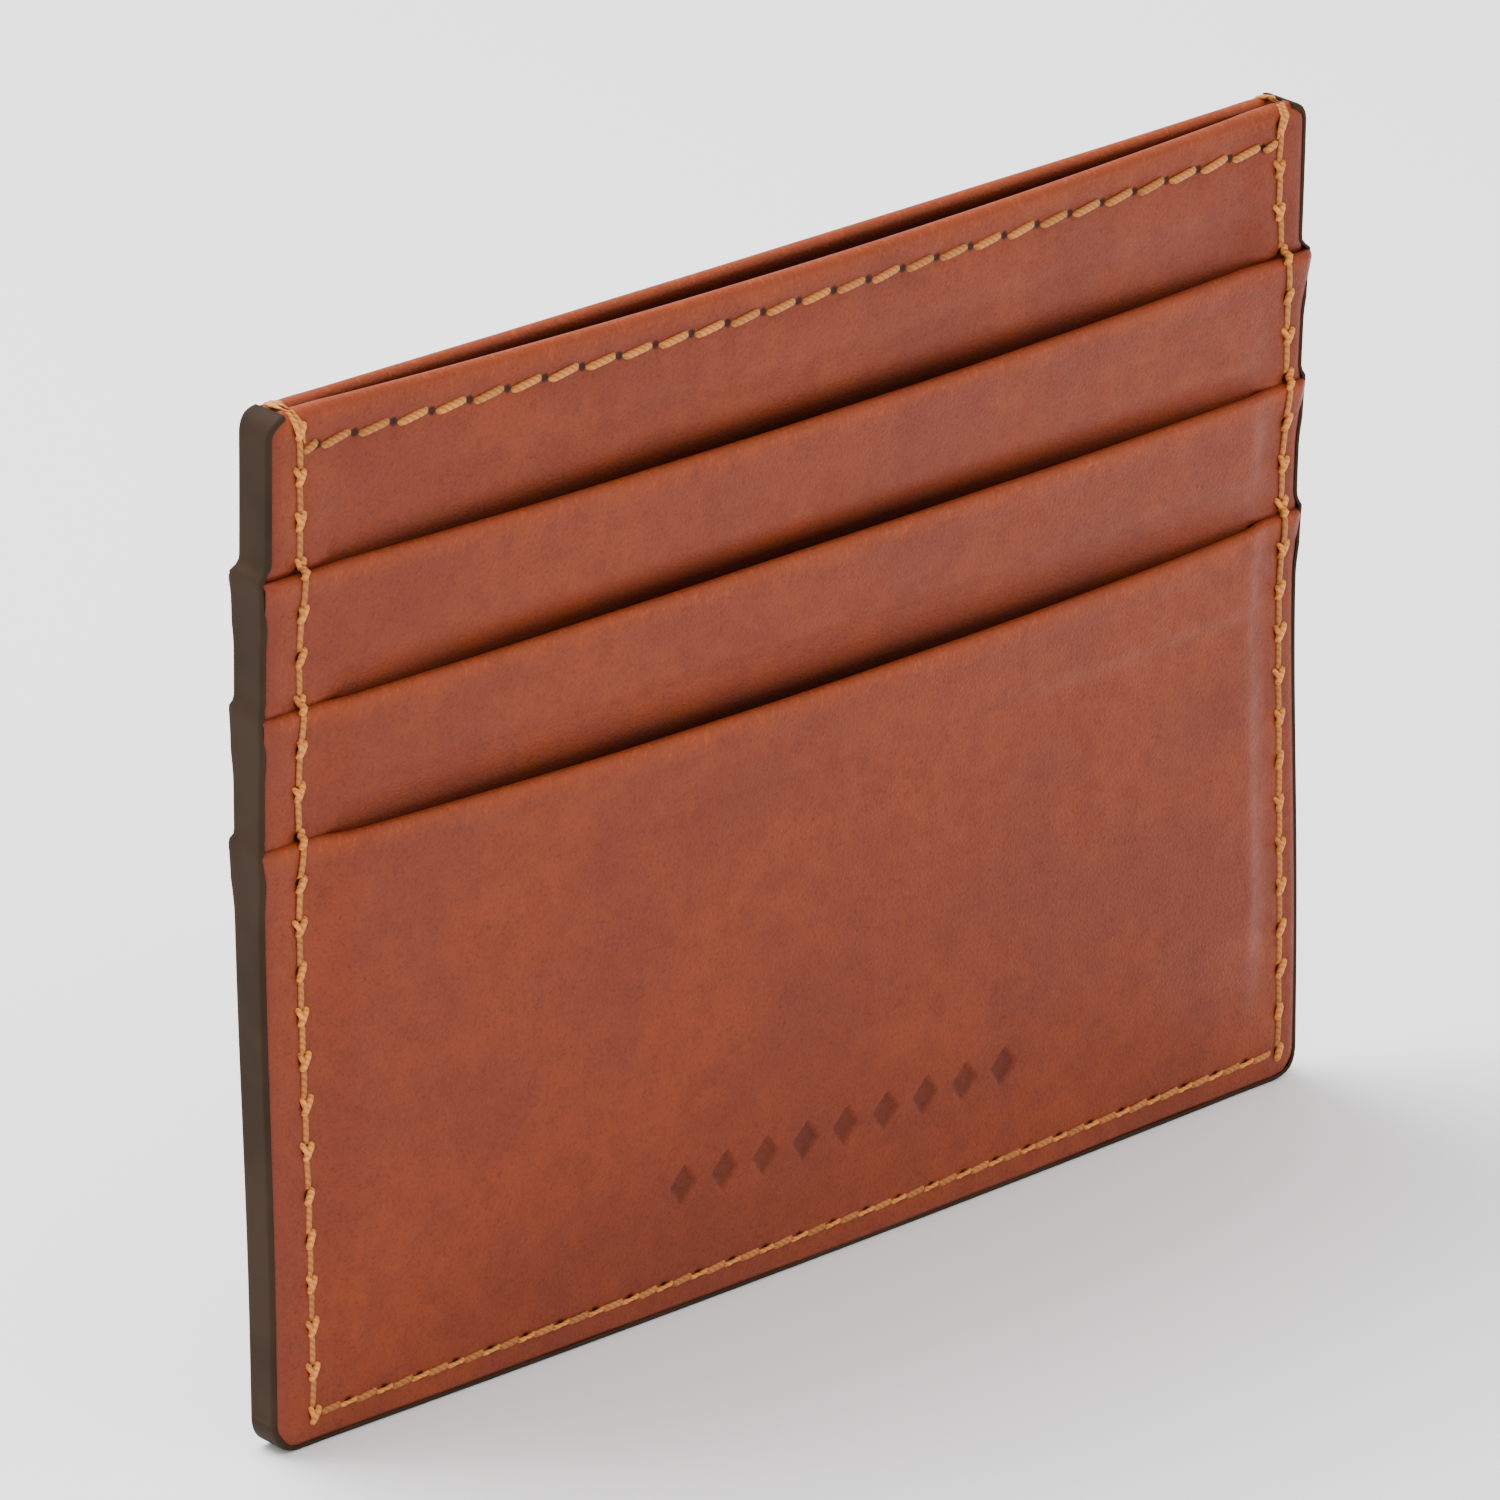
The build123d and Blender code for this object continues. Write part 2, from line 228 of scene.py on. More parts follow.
def arch(x):
    """1 in the middle and 0 at the side seams."""
    return np.clip(1 - (x / SEAM_X) ** 2, 0, 1)


def pull(x, z):
    """How far the seam nearest to x has moved outwards."""
    return np.where(np.asarray(x) > 0, PULL * smooth((PULL_FROM - z) / PULL_RUN), 0)


def puff(x, z):
    """0 where the layers are sewn flat and 1 where they have risen from the seams."""
    return smooth((SEAM_X + pull(x, z) - np.abs(x)) / SIDE_RISE) * smooth((z - FOOT) / FOOT_RISE)


def mouth_height(n, x):
    return MOUTHS[n] + MOUTH_LIFT[n] + MOUTH_ARCH[n] * arch(x) + MOUTH_TILT[n] * x / HALF


def opening(x, z):
    """Half the gap of the centre pocket."""
    wide = smooth((z - MOUTHS[LAST]) / (TOP - MOUTHS[LAST])) * arch(x)
    return puff(x, z) * mix(SHUT, sizes().opening / MM, wide)


def bow(x):
    return sizes().bow / MM * arch(x)


def dish(z):
    """How far the holder is bent to the rear at height z."""
    bend = sizes().dish / MM * np.exp(-((z - DISH_HEIGHT) / DISH_SPREAD) ** 2)
    return bend + LEAN * smooth((z - LEAN_FROM) / LEAN_RUN)


def lie(level, x, z):
    """Depth of a point at this level, once the holder is bowed and bent."""
    return level - bow(x) + dish(z)


def tuck(n, x, z):
    """1 where leather turns in behind the mouth of pocket n, just above it."""
    above = z - mouth_height(n, x)
    return np.exp(-(np.maximum(above, 0) / TUCK_RUN) ** 2) * arch(x) * puff(x, z)


def waves(x, z):
    """Slight unevenness of a hand-finished surface."""
    broad = np.sin(x / 8.3 + z / 13 + 0.6) + 0.8 * np.sin(z / 6.7 - x / 15 + 1.9)
    return 0.03 * broad + 0.015 * np.sin(x / 3.1 - z / 4.3)


def panel_level(x, z):
    """Outer face of the panel that the card pockets are sewn to."""
    t = sizes().leather / MM
    covered = mix(SEWN_LOW, SEWN_HIGH, np.clip(z / MOUTHS[0], 0, 1))
    at_seam = mix(covered, SEWN_TOP, smooth((z - mouth_height(0, x) + 0.4) / 1.0))
    hem = smooth((z - (TOP - HEM - HEM_STEP)) / HEM_STEP)
    in_middle = CLOTH + 2 * TOUCH + t + hem * (t + TOUCH)
    return mix(at_seam, in_middle, puff(x, z)) + opening(x, z) - TUCK * tuck(0, x, z)


def behind(n, x, z):
    """Thickness that strip n and its cloth tail add behind the next strip."""
    t = sizes().leather / MM
    strip = smooth((z - STRIP_ENDS[n]) / 1.0)
    return puff(x, z) * (CLOTH + TOUCH + (t - CLOTH) * strip)


def hem_extra(n, x, z):
    """Thickness that a pocket's turned edge adds to its single leather."""
    depth = mouth_height(n, x) - z
    t = sizes().leather / MM
    at_seam = SEAM_HEM[n] * (1 - smooth(depth / SEAM_HEM_RUN))
    in_middle = (t + TOUCH) * (1 if n == LAST else 1 - smooth((depth - HEM) / HEM_STEP))
    return mix(at_seam, in_middle, puff(x, z))


def pocket_level(n, x, z):
    """Outer face of a card pocket's leather."""
    depth = mouth_height(n, x) - z
    closed = GAP_CLOSES * smooth(depth / GAP_RUN)
    gap = MOUTH_GAP[n] * arch(x) ** 0.8 * (1 - closed) * puff(x, z)
    level = panel_level(x, z) + TUCK * tuck(0, x, z) + TOUCH + gap
    level = level + sizes().leather / MM + hem_extra(n, x, z)
    level = level + sum(behind(m, x, z) for m in range(n))
    return level if n == LAST else level - TUCK * tuck(n + 1, x, z)


def skin(x, z):
    """Outermost face of the holder, whichever layer that is."""
    level = panel_level(x, z)
    for n in POCKETS:
        level = np.where(z < mouth_height(n, x), pocket_level(n, x, z), level)
    return level


# Needle holes


def row(start, end):
    """Evenly spaced places from start to end, both included."""
    count = max(1, round(abs(end - start) / (sizes().pitch / MM)))
    return np.linspace(start, end, count + 1)


def side_holes(end):
    """Holes of the left (-1) or right (1) seam, from the top."""
    return [(end * ROW_X + float(pull(end, z)), z) for z in row(FIRST_HOLE, ROW_Z)]


def bottom_holes():
    return row(-ROW_X, ROW_X + PULL)


def top_holes():
    inset = ROW_X - sizes().pitch / MM / 2
    return row(-inset, inset)


def all_holes():
    """Every needle hole that shows, as x and z."""
    sides = side_holes(-1) + side_holes(1)
    bottom = [(x, ROW_Z) for x in bottom_holes()]
    top = [(x, TOP_ROW) for x in top_holes()]
    return np.array(sides + bottom + top)


def to_hole(x, z):
    """Way to the nearest needle hole. Its third part is 0 in the hole and grows fast around it."""
    holes = all_holes()
    gaps = np.hypot(x[:, None] - holes[:, 0], z[:, None] - holes[:, 1])
    near = gaps.argmin(1)
    gap = gaps.min(1)
    return np.stack([x - holes[near, 0], z - holes[near, 1],
                     2 * np.maximum(gap - HOLE_REACH, 0)], 1)


def dents(x, z):
    """How far thread and needle holes press the leather in."""
    away = np.hypot(*to_hole(x, z)[:, :2].T)
    sides = np.where(z > ROW_Z, np.abs(np.abs(x) - ROW_X - pull(x, z)), 9)
    bottom = np.where(np.abs(x) < ROW_X, np.abs(z - ROW_Z), 9)
    top = np.where(np.abs(x) < ROW_X - 1, np.abs(z - TOP_ROW), 9)
    line = np.minimum(np.minimum(sides, bottom), top)
    under_thread = THREAD_DENT * np.exp(-(line / THREAD_DENT_RUN) ** 2)
    return under_thread + HOLE_DENT * np.exp(-(away / HOLE_DENT_RUN) ** 2)


def worn_edge(x, z, width):
    """How far the cut edge is rounded off."""
    from_edge = np.clip((width - np.abs(x)) / WEAR_RUN, 0, 1)
    from_foot = np.clip((z - FILM) / WEAR_RUN, 0, 1)
    return WEAR * (1 - np.minimum(from_edge, from_foot)) ** 2


# Sheets


def side_line(z, shoulder=True):
    """Half the width of the cut leather at height z, before its corners are rounded."""
    side = CUT + mix(SPREAD[1], SPREAD[0], np.clip(z / MOUTHS[0], 0, 1))
    for n in POCKETS:
        below = MOUTHS[n] + MOUTH_LIFT[n] - z
        side = side + FLARE[n] * np.exp(-np.maximum(below, 0) / 3.0) * smooth(1 + below / 1.1)
    above = z - MOUTHS[0] - MOUTH_LIFT[0]
    return side - (SHOULDER * smooth(above / 0.8) if shoulder else 0)


def half_width(z, shoulder=True):
    """Half the width of the cut leather at height z."""
    low = BOTTOM_CORNER - FILM
    rise = np.clip(low - (z - FILM), 0, low)
    side = side_line(z, shoulder) - (low - np.sqrt(low**2 - rise**2))
    if not shoulder:
        return side
    high = TOP_CORNER - FILM
    rise = np.clip(z - (TOP - TOP_DROP - high), 0, high)
    return side - (high - np.sqrt(high**2 - rise**2))


def columns(step=GRID, fine=()):
    """Places across a sheet, from -1 at its left edge to 1 at its right one."""
    inner = np.linspace(-STEM, STEM, round(2 * STEM / step) + 1)
    outer = np.linspace(STEM, CUT, TAB_COLUMNS)[1:]
    return np.unique(np.round(np.concatenate([-outer, inner, outer, fine]), 4)) / CUT


def grid_mesh(columns, rows):
    """A flat grid, with the number of each point's column and row."""
    bm = bmesh.new()
    bmesh.ops.create_grid(bm, x_segments=columns - 1, y_segments=rows - 1, size=1)
    bm.verts.ensure_lookup_table()
    grid = np.array([v.co[:2] for v in bm.verts])
    i = np.rint((grid[:, 0] + 1) / 2 * (columns - 1)).astype(int)
    j = np.rint((grid[:, 1] + 1) / 2 * (rows - 1)).astype(int)
    return bm, i, j


def sheet_mesh(across, down, place, side, mouth=None):
    """A grid of points that place() sets as x, level, z and distance from the fold.

    mouth is the pocket whose mouth this sheet is tucked behind.
    """
    bm, i, j = grid_mesh(len(across), len(down))
    x, level, z, from_fold = place(across[i], down[j])
    points = np.stack([x, lie(side * level, x, z), z], 1) * MM
    holes = to_hole(x, z)
    # tucked is painted shade: 1 in the crevice just above the mouth of the next pocket, fading
    # upwards and towards the seams, where the leather shader darkens the colour
    tucked = 0 * x
    if mouth is not None:
        tucked = np.exp(-np.maximum(z - mouth_height(mouth, x), 0) / 0.8) * arch(x) ** 0.7
    pressed = mark(x, z) / MARK_DEPTH if mouth is None and side == FRONT else 0 * x
    fold_layer = bm.verts.layers.float.new("from_fold")
    edge_layer = bm.verts.layers.float.new("from_edge")
    hole_layer = bm.verts.layers.float_vector.new("to_hole")
    tucked_layer = bm.verts.layers.float.new("tucked")
    pressed_layer = bm.verts.layers.float.new("pressed")
    for k, v in enumerate(bm.verts):
        v.co = points[k]
        v[fold_layer] = from_fold[k]
        v[edge_layer] = CUT - abs(across[i[k]]) * CUT
        v[hole_layer] = holes[k]
        v[tucked_layer] = tucked[k]
        v[pressed_layer] = pressed[k]
    if side == REAR:
        bmesh.ops.reverse_faces(bm, faces=bm.faces)
    return bm


def to_object(bm, name, material, thickness=0.0):
    """A finished piece from a bmesh, given its thickness inwards where it has one."""
    mesh = bpy.data.meshes.new(name)
    bm.to_mesh(mesh)
    bm.free()
    mesh.shade_smooth()
    piece = bpy.data.objects.new(name, mesh)
    bpy.context.scene.collection.objects.link(piece)
    mesh.materials.append(material)
    if thickness:
        solid = piece.modifiers.new("Thickness", "SOLIDIFY")
        solid.thickness = thickness * MM
        solid.offset = -1
    return piece


def settle(piece, node):
    """Ties a finished piece to the frame."""
    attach(piece, "root")
    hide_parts(node)
    return piece


def turned_rows(top, bottom, fine=()):
    """Rows of a sheet with a turned edge, from its hidden hem over the fold and down the face.

    Below -1 a row is a depth in the hem, from -1 to 1 it is a part of the fold, and above 1 a
    depth on the face.
    """
    hem = -1 - np.linspace(HEM, 0, HEM_ROWS)[:-1]
    turn = np.linspace(-1, 1, FOLD_ROWS)
    down = np.linspace(0, top - bottom, round((top - bottom) / GRID) + 1)[1:]
    down = np.unique(np.round(np.concatenate([down, [top - z for z in fine]]), 4))
    return np.concatenate([hem, turn, 1 + down])[::-1]


def turned(share, r, crest, bottom, nominal, outer, inner, shoulder):
    """Places a turned sheet: outer and inner give the levels of its face and of its hem."""
    x = share * CUT
    top = crest(x)
    radius = (outer(x, top) - inner(x, top)) / 2
    tangent = top - radius
    depth = np.maximum(r - 1, 0) * (tangent - bottom) / (nominal - bottom)
    hem = np.maximum(-1 - r, 0)
    angle = np.clip(r, -1, 1) * math.pi / 2
    z = tangent - depth - hem + radius * np.cos(angle)
    x = share * half_width(z, shoulder)
    face, back = outer(x, np.minimum(z, tangent)), inner(x, np.minimum(z, tangent))
    round_level = (face + back) / 2 + radius * np.sin(angle)
    level = np.where(r > 1, face, np.where(r < -1, back, round_level))
    from_fold = radius * angle + np.where(r > 0, depth, -hem)
    return x, level, z, from_fold


def shown_face(level, shoulder):
    """A face that is dented by thread, worn at its edge and slightly uneven."""
    def face(x, z):
        worn = worn_edge(x, z, half_width(z, shoulder))
        return level(x, z) + waves(x, z) - dents(x, z) - worn
    return face


def panel_sheet(side):
    face = shown_face(panel_level, True)
    nominal = TOP - PANEL_REACH

    def crest(x):
        return TOP - TOP_DROP - TOP_SAG[side] * arch(x)

    def back(x, z):
        return opening(x, z) + TOUCH

    def place(share, r):
        return turned(share, r, crest, FILM, nominal, face, back, True)

    return sheet_mesh(columns(), turned_rows(nominal, FILM), place, side, mouth=0)


def mark(x, z):
    """How deep the stamped lozenges are pressed in."""
    pitch = (MARK_X[1] - MARK_X[0]) / MARK_COUNT
    inside = (x > MARK_X[0]) & (x < MARK_X[1])
    dx = np.abs((x - MARK_X[0]) % pitch - pitch / 2) / (pitch * MARK_FILL)
    dz = np.abs(z - sum(MARK_Z) / 2) / ((MARK_Z[1] - MARK_Z[0]) / 2)
    return np.where(inside, MARK_DEPTH * smooth((1 - dx - dz) / MARK_WALL), 0)


def pocket_sheet(n, side):
    bottom = FILM if n == LAST else STRIP_ENDS[n]
    nominal = MOUTHS[n] - POCKET_REACH
    plain = shown_face(lambda x, z: pocket_level(n, x, z), False)
    stamped = n == LAST and side == FRONT

    def face(x, z):
        depth = mouth_height(n, x) - z
        crease = CREASE * np.exp(-((depth - CREASE_DEPTH) / CREASE_RUN) ** 2)
        return plain(x, z) - crease - (mark(x, z) if stamped else 0)

    def back(x, z):
        thick = sizes().leather / MM + hem_extra(n, x, z)
        return plain(x, z) - np.maximum(thick, 2 * sizes().leather / MM)

    def crest(x):
        return mouth_height(n, x)

    def place(share, r):
        return turned(share, r, crest, bottom, nominal, face, back, False)

    fine_x = np.arange(*MARK_X, MARK_STEP) if stamped else ()
    fine_z = np.arange(MARK_Z[0] - 0.2, MARK_Z[1] + 0.2, MARK_STEP) if stamped else ()
    rows = turned_rows(nominal, bottom, fine=fine_z)
    bm = sheet_mesh(columns(fine=fine_x), rows, place, side, mouth=None if n == LAST else n + 1)
    if n < LAST:
        def is_spare(middle):
            x, z = middle.x / MM, middle.z / MM
            return abs(x) > STEM + pull(x, z) and z < mouth_height(n + 1, x) - TAB_TUCK

        spare = [f for f in bm.faces if is_spare(f.calc_center_median())]
        bmesh.ops.delete(bm, geom=spare, context="FACES")
    return bm


def flat_sheet(side, width, bottom, top, level, shoulder):
    """A plain sheet of cloth between two heights."""
    def place(share, z):
        x = share * np.minimum(half_width(z, shoulder), width)
        return x, level(x, z), z, top - z

    rows = np.linspace(bottom, top, round(top - bottom) + 1)
    return sheet_mesh(columns(step=CLOTH_GRID), rows, place, side, mouth=0)


def lining_level(x, z):
    t = sizes().leather / MM
    hem = smooth((z - (TOP - HEM - HEM_STEP)) / HEM_STEP)
    return opening(x, z) + CLOTH + 2 * TOUCH + hem * (t + TOUCH)


def tail_level(n, x, z):
    """Outer face of the cloth tail of pocket n, which lies on the panel or on the last tail."""
    return panel_level(x, z) + (n + 1) * (CLOTH + TOUCH) * np.maximum(puff(x, z), 0.05)


# Thread


def strand(bm, points, width, height, tone, tone_layer):
    """A soft, flattened thread through points, which are x, y and z in millimetres."""
    points = np.array(points, float)
    ahead = np.gradient(points, axis=0)
    ahead /= np.linalg.norm(ahead, axis=1)[:, None]
    place = np.linspace(-1, 1, len(points))
    swell = np.maximum(1 - np.abs(place) ** STRAND_TAPER, 0.12) ** 0.5
    circle = bmesh.ops.create_circle(bm, segments=STRAND_SIDES, radius=1, cap_ends=False)
    ring = circle["verts"]
    angles = [math.atan2(v.co.y, v.co.x) for v in ring]
    first = ring
    for k, (point, along) in enumerate(zip(points, ahead)):
        up = np.array([0.0, 1.0, 0.0]) - along * along[1]
        if np.linalg.norm(up) < 0.3:
            up = np.array([0.0, 0.0, 1.0]) - along * along[2]
        up /= np.linalg.norm(up)
        over = np.cross(along, up)
        if k:
            edges = [e for v in ring for e in v.link_edges if e.other_vert(v) in ring]
            made = bmesh.ops.extrude_edge_only(bm, edges=list(dict.fromkeys(edges)))["geom"]
            fresh = [g for g in made if isinstance(g, bmesh.types.BMVert)]
            ring = [min(fresh, key=lambda v: (v.co - old.co).length) for old in ring]
        for v, angle in zip(ring, angles):
            offset = over * math.cos(angle) * width / 2 + up * math.sin(angle) * height / 2
            v.co = Vector((point + offset * swell[k]) * MM)
            v[tone_layer] = tone
    for rim in (first, ring):
        edges = [e for v in rim for e in v.link_edges if e.other_vert(v) in rim]
        bmesh.ops.edgeloop_fill(bm, edges=list(dict.fromkeys(edges)))


def laid(side, x, z, lift, level=skin):
    """Points on the outermost face, over any step close by, raised by lift."""
    near = [(dx, dz) for dx in (-0.25, 0.25) for dz in (-0.35, 0, 0.35)]
    high = np.max([level(x + dx, z + dz) for dx, dz in near], axis=0)
    return np.stack([x, lie(side * (high + lift), x, z), z], 1)


def stitch(bm, side, start, end, slant, width, height, tone, layer, reach=1.0, level=skin):
    """One stitch from hole to hole, which dives into the leather at both ends."""
    start, end = np.array(start, float), np.array(end, float)
    run = (end - start) / np.linalg.norm(end - start)
    cross = np.array([-run[1], run[0]])
    s = np.linspace(-1, 1, 9)
    middle, half = (start + end) / 2, (end - start) / 2 * reach
    flat = middle + s[:, None] * half + cross * (slant * s)[:, None]
    lift = height * 0.22 - 0.12 - 0.4 * np.abs(s) ** 7
    strand(bm, laid(side, flat[:, 0], flat[:, 1], lift, level), width, height, tone, layer)


def perimeter_stitches(side):
    """Flat stitches with the other thread pulled up between them at each hole."""
    rng = np.random.default_rng(5 + side)
    bm = bmesh.new()
    layer = bm.verts.layers.float.new("tone")
    width = sizes().thread / MM
    for holes in (side_holes(-1), side_holes(1)):
        for a, b in zip(holes, holes[1:]):
            stitch(bm, side, a, b, rng.uniform(-0.14, 0.06), 0.9 * width, 0.34,
                   rng.uniform(0, 0.3), layer, 0.86)
        # The thread pulled up at each hole gets a high tone, which the thread shader paints lighter
        # as a highlight.
        for x, z in holes:
            right, left = rng.uniform(0.2, 0.65), rng.uniform(0.2, 0.6)
            tall = rng.uniform(0.45, 0.8)
            stitch(bm, side, (x - 0.18, z - 0.75), (x + right, z + tall), 0, width, 0.55,
                   rng.uniform(0.6, 1), layer)
            if rng.random() < 0.6:
                stitch(bm, side, (x + 0.12, z - 0.3), (x - left, z + rng.uniform(0.35, 0.75)), 0,
                       0.75 * width, 0.5, rng.uniform(0.4, 1), layer)
    holes = [(x, ROW_Z) for x in bottom_holes()]
    for a, b in zip(holes, holes[1:]):
        stitch(bm, side, a, b, rng.uniform(0.06, 0.16), width, 0.3,
               rng.uniform(0, 0.25), layer, 0.66)
    # The pulled-up strands between the bottom stitches also get a high tone, a painted highlight.
    for x, z in holes[1:-1]:
        for shift in (-0.09, 0.09):
            reach = rng.uniform(0.75, 0.95)
            stitch(bm, side, (x - reach, z - 0.12 + shift), (x + reach, z + 0.06 - shift), 0,
                   0.26, 0.34, rng.uniform(0.6, 1), layer)
    return bm


def top_stitches(side):
    """One row of flat slanting stitches with open needle holes between them."""
    rng = np.random.default_rng(11 + side)
    bm = bmesh.new()
    layer = bm.verts.layers.float.new("tone")
    holes = [(x, TOP_ROW) for x in (-ROW_X + 0.2, *top_holes(), ROW_X - 0.2)]
    for a, b in zip(holes, holes[1:]):
        stitch(bm, side, a, b, rng.uniform(0.18, 0.3), 1.1 * sizes().thread / MM, 0.45,
               rng.uniform(0.1, 0.6), layer, 0.86)
    return bm


def hidden_stitches(n, side):
    bm = bmesh.new()
    layer = bm.verts.layers.float.new("tone")
    inset = STEM - (HALF - ROW_X)
    holes = [(x, TAIL_ROWS[n]) for x in row(-inset, inset)]
    for a, b in zip(holes, holes[1:]):
        stitch(bm, side, a, b, 0.05, 0.3, 0.16, 0, layer, 0.9, lambda x, z: tail_level(n, x, z))
    return bm


def corner_strands(end):
    """The thread where it goes over the top edge at one corner."""
    bm = bmesh.new()
    layer = bm.verts.layers.float.new("tone")
    for shift, lean in ((0.0, 0.0), (0.38, 0.12)):
        bulge = np.array([0.0, 0.25, 0.5, 0.7, 0.75, 0.7, 0.5, 0.25, 0.0])
        rise = np.array([-2.4, -1.5, -0.75, -0.1, 0.12 + lean, -0.1, -0.75, -1.5, -2.4])
        x = end * (bulge + ROW_X - shift)
        z = rise + TOP - TOP_DROP
        reach = np.array([-1, -1, -1, -0.62, 0, 0.62, 1, 1, 1])
        level = skin(np.abs(x), np.minimum(z, TOP - 1.6)) + 0.05
        points = np.stack([x, lie(reach * level, x, z), z], 1)
        # The strands over the corner get a high tone, painted lighter as a highlight.
        strand(bm, points, 0.46, 0.36, 0.9 - shift, layer)
    return bm


# Edge paint


def edge_line(part):
    """The outer edge's line as points, each with the way outwards."""
    foot = np.linspace(0, math.pi / 2, 9)
    if part == "bottom":
        low = side_line(BOTTOM_CORNER) + FILM - BOTTOM_CORNER
        left = [(-low - BOTTOM_CORNER * math.cos(a), BOTTOM_CORNER * (1 - math.sin(a)),
                 -math.cos(a), -math.sin(a)) for a in foot]
        straight = [(x, 0.0, 0.0, -1.0) for x in np.linspace(-low, low, 190)[1:-1]]
        return np.array(left + straight + [(-x, z, -nx, nz) for x, z, nx, nz in left[::-1]])
    end = -1 if part == "left" else 1
    top = TOP - TOP_DROP
    z = np.linspace(BOTTOM_CORNER, top - TOP_CORNER, 200)
    line = [(end * x, h, end * 1.0, 0.0) for x, h in zip(side_line(z) + FILM, z)]
    high = abs(line[-1][0]) - TOP_CORNER
    for a in np.linspace(0, math.pi * 0.46, 9)[1:]:
        line.append((end * (high + TOP_CORNER * math.cos(a)), top - TOP_CORNER * (1 - math.sin(a)),
                     end * math.cos(a), math.sin(a)))
    return np.array(line)


def paint_mesh(part):
    """A rounded film over the cut edges, from the front face round to the rear one."""
    line = edge_line(part)
    turns = np.linspace(-1, 1, 25)
    bm, i, j = grid_mesh(len(line), len(turns))
    x, z, nx, nz = line[i].T
    inner_x, inner_z = x - nx * LIP, z - nz * LIP
    near = [skin(inner_x, inner_z + dz) for dz in (-0.3, -0.15, 0, 0.15, 0.3)]
    face = np.max(near, axis=0) - worn_edge(inner_x, inner_z, side_line(inner_z)) + PAINT_PROUD
    bend = SEWN_TOP / 2
    over = np.clip(inner_z - (TOP - TOP_DROP - bend), 0, bend)
    face = np.minimum(face, bend + np.sqrt(bend**2 - over**2) + PAINT_PROUD)
    turn = np.abs(turns[j])
    angle = np.clip((turn - 0.5) / 0.35, 0, 1) * math.pi / 2
    lip = np.clip((turn - 0.85) / 0.15, 0, 1)
    out = PAINT_ROUND * (np.cos(angle) - 1) - lip * (LIP - PAINT_ROUND)
    flat = (face - PAINT_ROUND) * np.minimum(turn / 0.5, 1)
    level = np.sign(turns[j]) * (flat + PAINT_ROUND * np.sin(angle) - PAINT_PROUD * lip)
    points = np.stack([x + nx * out, lie(level, x, z), z + nz * out], 1) * MM
    for k, v in enumerate(bm.verts):
        v.co = points[k]
    if part != "left":
        bmesh.ops.reverse_faces(bm, faces=bm.faces)
    return bm


# Materials


def add(tree, kind, inputs=None, output=0, **settings):
    """Adds a node and gives one of its outputs.

    settings are the node's own values, inputs are values or sockets for its sockets.
    """
    node = tree.nodes.new(kind)
    for key, value in settings.items():
        setattr(node, key, value)
    for key, value in (inputs or {}).items():
        socket = node.inputs[key]
        if isinstance(value, bpy.types.NodeSocket):
            tree.links.new(value, socket)
        elif socket.type == "RGBA" and len(value) == 3:
            socket.default_value = (*value, 1)
        else:
            socket.default_value = value
    return node.outputs[output] if len(node.outputs) else None


def per(millimetres):
    """Texture scale for noise of this size. A wave repeats at about a third of it."""
    return 1 / (millimetres * MM)


def material(name):
    made = bpy.data.materials.new(name)
    made.use_nodes = True
    made.node_tree.nodes.clear()
    return made, made.node_tree


